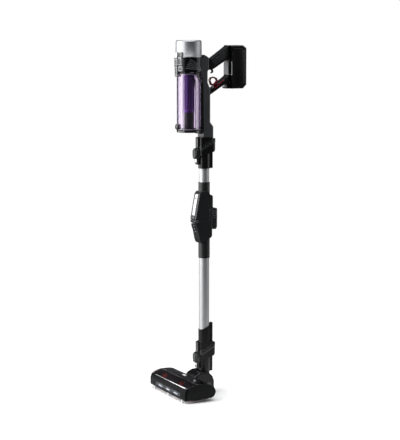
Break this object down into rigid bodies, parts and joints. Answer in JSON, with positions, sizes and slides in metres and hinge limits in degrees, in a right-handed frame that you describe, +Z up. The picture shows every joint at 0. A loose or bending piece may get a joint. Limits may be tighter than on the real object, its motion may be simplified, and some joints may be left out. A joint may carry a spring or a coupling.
{
  "type": "cordless stick vacuum",
  "caption": "Upright cordless stick vacuum: clear cyclone bin, battery grip, hinged aluminium wand with a knee joint and a motorised brush head.",
  "frame": {"origin": "on the floor under the middle of the wand, where the sole plane z = 0 lies", "axes": "+Z up along the wand, -Y towards the front of the head and the dust bin, +Y towards the handle and battery, +X to the vacuum's left as seen from behind"},
  "size_m": [0.256, 0.268, 1.116],
  "materials": {
    "cap_plastic": "fine spark-eroded texture",
    "black_plastic": "satin moulded ABS",
    "bumper_plastic": "satin moulded ABS",
    "gloss_black": "polished mould",
    "led_lens": "frosted lens",
    "circuit_board": "solder mask",
    "smoked_window": "smoked, polished",
    "chrome_trim": "bright",
    "steel": "turned",
    "motor_steel": "zinc plated",
    "belt_rubber": "toothed",
    "felt": "felt",
    "wheel_rubber": "soft",
    "roller_plastic": "matt",
    "bristle": "nylon tufts",
    "brass": "machined",
    "grey_plastic": "satin",
    "light_grey_plastic": "satin",
    "silver_plastic": "metallic lacquer",
    "hose_rubber": "corrugated",
    "anodised_tube": "anodised",
    "brushed_cap": "circular brushed",
    "filter_paper": "pleated felt",
    "aluminium_fan": "machined",
    "red_plastic": "gloss",
    "clear_bin": "clear tinted polycarbonate",
    "shroud_plastic": "metallic purple",
    "battery_plastic": "fine texture",
    "cell_wrap": "shrink wrapped cells"
  },
  "bodies": {
    "head": {"end_cap_right": "cap_plastic", "end_cap_left": "cap_plastic", "head_chassis": "black_plastic", "front_bumper": "bumper_plastic", "led_lens": "led_lens", "led_board": "circuit_board", "roller_window": "smoked_window", "window_trim": "chrome_trim", "head_cover": "gloss_black", "neck_cradle": "gloss_black", "wheel_axles": "steel", "brush_motor": "motor_steel", "drive_belt": "belt_rubber", "front_felts": "felt", "head_screws": "steel"},
    "wheel_left": {"rear_wheel_left": "wheel_rubber"},
    "wheel_right": {"rear_wheel_right": "wheel_rubber"},
    "roller": {"roller_core": "roller_plastic", "roller_bristles": "bristle", "roller_axle": "steel", "roller_pulley": "black_plastic"},
    "pinion": {"motor_pinion": "brass"},
    "neck": {"neck_yoke": "black_plastic"},
    "swivel": {"head_socket": "black_plastic"},
    "head_release": {"head_release_button": "grey_plastic"},
    "wand": {"wand_foot": "black_plastic", "lower_tube": "anodised_tube", "knee_lower_shell": "black_plastic", "knee_pin": "steel", "knee_hose": "hose_rubber"},
    "upper_wand": {"knee_upper_shell": "black_plastic", "knee_rear_housing": "grey_plastic", "upper_tube": "anodised_tube", "wand_head_socket": "black_plastic"},
    "knee_release": {"knee_button": "silver_plastic"},
    "wand_release": {"wand_release_button": "grey_plastic"},
    "handheld": {"inlet_plug": "black_plastic", "spine": "grey_plastic", "spine_screws": "steel", "motor_housing": "black_plastic", "main_motor": "motor_steel", "exhaust_filter": "filter_paper", "front_panel": "grey_plastic", "handle": "black_plastic", "dock_plate": "light_grey_plastic", "main_board": "circuit_board"},
    "fan": {"impeller": "aluminium_fan"},
    "cap": {"exhaust_cap": "brushed_cap"},
    "power": {"power_button": "silver_plastic"},
    "trigger_ring": {"trigger": "red_plastic"},
    "bin": {"dust_bin": "clear_bin", "cyclone_shroud": "shroud_plastic", "cyclone_core": "black_plastic", "flap_pin": "steel"},
    "latch": {"bin_latch": "grey_plastic"},
    "flap": {"bin_flap": "gloss_black"},
    "flap_catch": {"flap_latch": "black_plastic"},
    "battery": {"battery_case": "battery_plastic", "battery_cells": "cell_wrap"},
    "battery_release": {"battery_button": "silver_plastic"}
  },
  "joints": [
    {"name": "wheel_left_spin", "type": "hinge", "parent": "head", "child": "wheel_left", "pos_m": [-0.0275, 0.006, 0.013], "axis": [1, 0, 0], "continuous": true},
    {"name": "wheel_right_spin", "type": "hinge", "parent": "head", "child": "wheel_right", "pos_m": [0.0275, 0.006, 0.013], "axis": [1, 0, 0], "continuous": true},
    {"name": "roller_spin", "type": "hinge", "parent": "head", "child": "roller", "pos_m": [0, -0.092, 0.027], "axis": [1, 0, 0], "continuous": true},
    {"name": "pinion_spin", "type": "hinge", "parent": "head", "child": "pinion", "pos_m": [0, -0.046, 0.027], "axis": [1, 0, 0], "continuous": true},
    {"name": "neck_pitch", "type": "hinge", "parent": "head", "child": "neck", "pos_m": [0, 0, 0.03], "axis": [-1, 0, 0], "range_deg": [0, 80]},
    {"name": "neck_swivel", "type": "hinge", "parent": "neck", "child": "swivel", "pos_m": [0, 0, 0.066], "axis": [0, 0, 1], "range_deg": [-60, 60]},
    {"name": "head_button_press", "type": "slide", "parent": "swivel", "child": "head_release", "axis": [0, 1, 0], "range_m": [0, 0.002], "stiffness_N_per_m": 300, "springref_m": -0.001},
    {"name": "wand_lift", "type": "slide", "parent": "swivel", "child": "wand", "axis": [0, 0, 1], "range_m": [0, 0.06]},
    {"name": "knee_fold", "type": "hinge", "parent": "wand", "child": "upper_wand", "pos_m": [0, -0.033, 0.551], "axis": [1, 0, 0], "range_deg": [0, 90]},
    {"name": "knee_button_press", "type": "slide", "parent": "upper_wand", "child": "knee_release", "axis": [0, 0.9833, -0.1821], "range_m": [0, 0.002], "stiffness_N_per_m": 300, "springref_m": -0.001},
    {"name": "wand_button_press", "type": "slide", "parent": "upper_wand", "child": "wand_release", "axis": [0, 1, 0], "range_m": [0, 0.002], "stiffness_N_per_m": 300, "springref_m": -0.001},
    {"name": "handheld_lift", "type": "slide", "parent": "upper_wand", "child": "handheld", "axis": [0, 0, 1], "range_m": [0, 0.06]},
    {"name": "fan_spin", "type": "hinge", "parent": "handheld", "child": "fan", "pos_m": [0, -0.054, 1.04], "axis": [0, 0, 1], "continuous": true},
    {"name": "cap_lift", "type": "slide", "parent": "handheld", "child": "cap", "axis": [0, 0, 1], "range_m": [0, 0.045]},
    {"name": "power_press", "type": "slide", "parent": "handheld", "child": "power", "axis": [0, 1, 0], "range_m": [0, 0.001], "stiffness_N_per_m": 300, "springref_m": -0.001},
    {"name": "trigger_pull", "type": "slide", "parent": "handheld", "child": "trigger_ring", "axis": [0, 0.787, 0.617], "range_m": [0, 0.004], "stiffness_N_per_m": 400, "springref_m": -0.002},
    {"name": "bin_pull", "type": "slide", "parent": "handheld", "child": "bin", "axis": [0, -1, 0], "range_m": [0, 0.12]},
    {"name": "bin_latch_tilt", "type": "hinge", "parent": "bin", "child": "latch", "pos_m": [0, -0.0967, 1.0355], "axis": [-1, 0, 0], "range_deg": [0, 15], "stiffness_Nm_per_rad": 0.1, "springref_deg": -5.73},
    {"name": "flap_open", "type": "hinge", "parent": "bin", "child": "flap", "pos_m": [0, -0.019, 0.83], "axis": [1, 0, 0], "range_deg": [0, 65]},
    {"name": "flap_latch_slide", "type": "slide", "parent": "bin", "child": "flap_catch", "axis": [0, 0, 1], "range_m": [0, 0.003], "stiffness_N_per_m": 300, "springref_m": -0.001},
    {"name": "battery_pull", "type": "slide", "parent": "handheld", "child": "battery", "axis": [0, 1, 0], "range_m": [0, 0.07]},
    {"name": "battery_button_press", "type": "slide", "parent": "battery", "child": "battery_release", "axis": [0, 1, 0], "range_m": [0, 0.001], "stiffness_N_per_m": 300, "springref_m": -0.001}
  ],
  "couplings": [
    {"joint": "pinion_spin", "follows": "roller_spin", "ratio": 2}
  ]
}
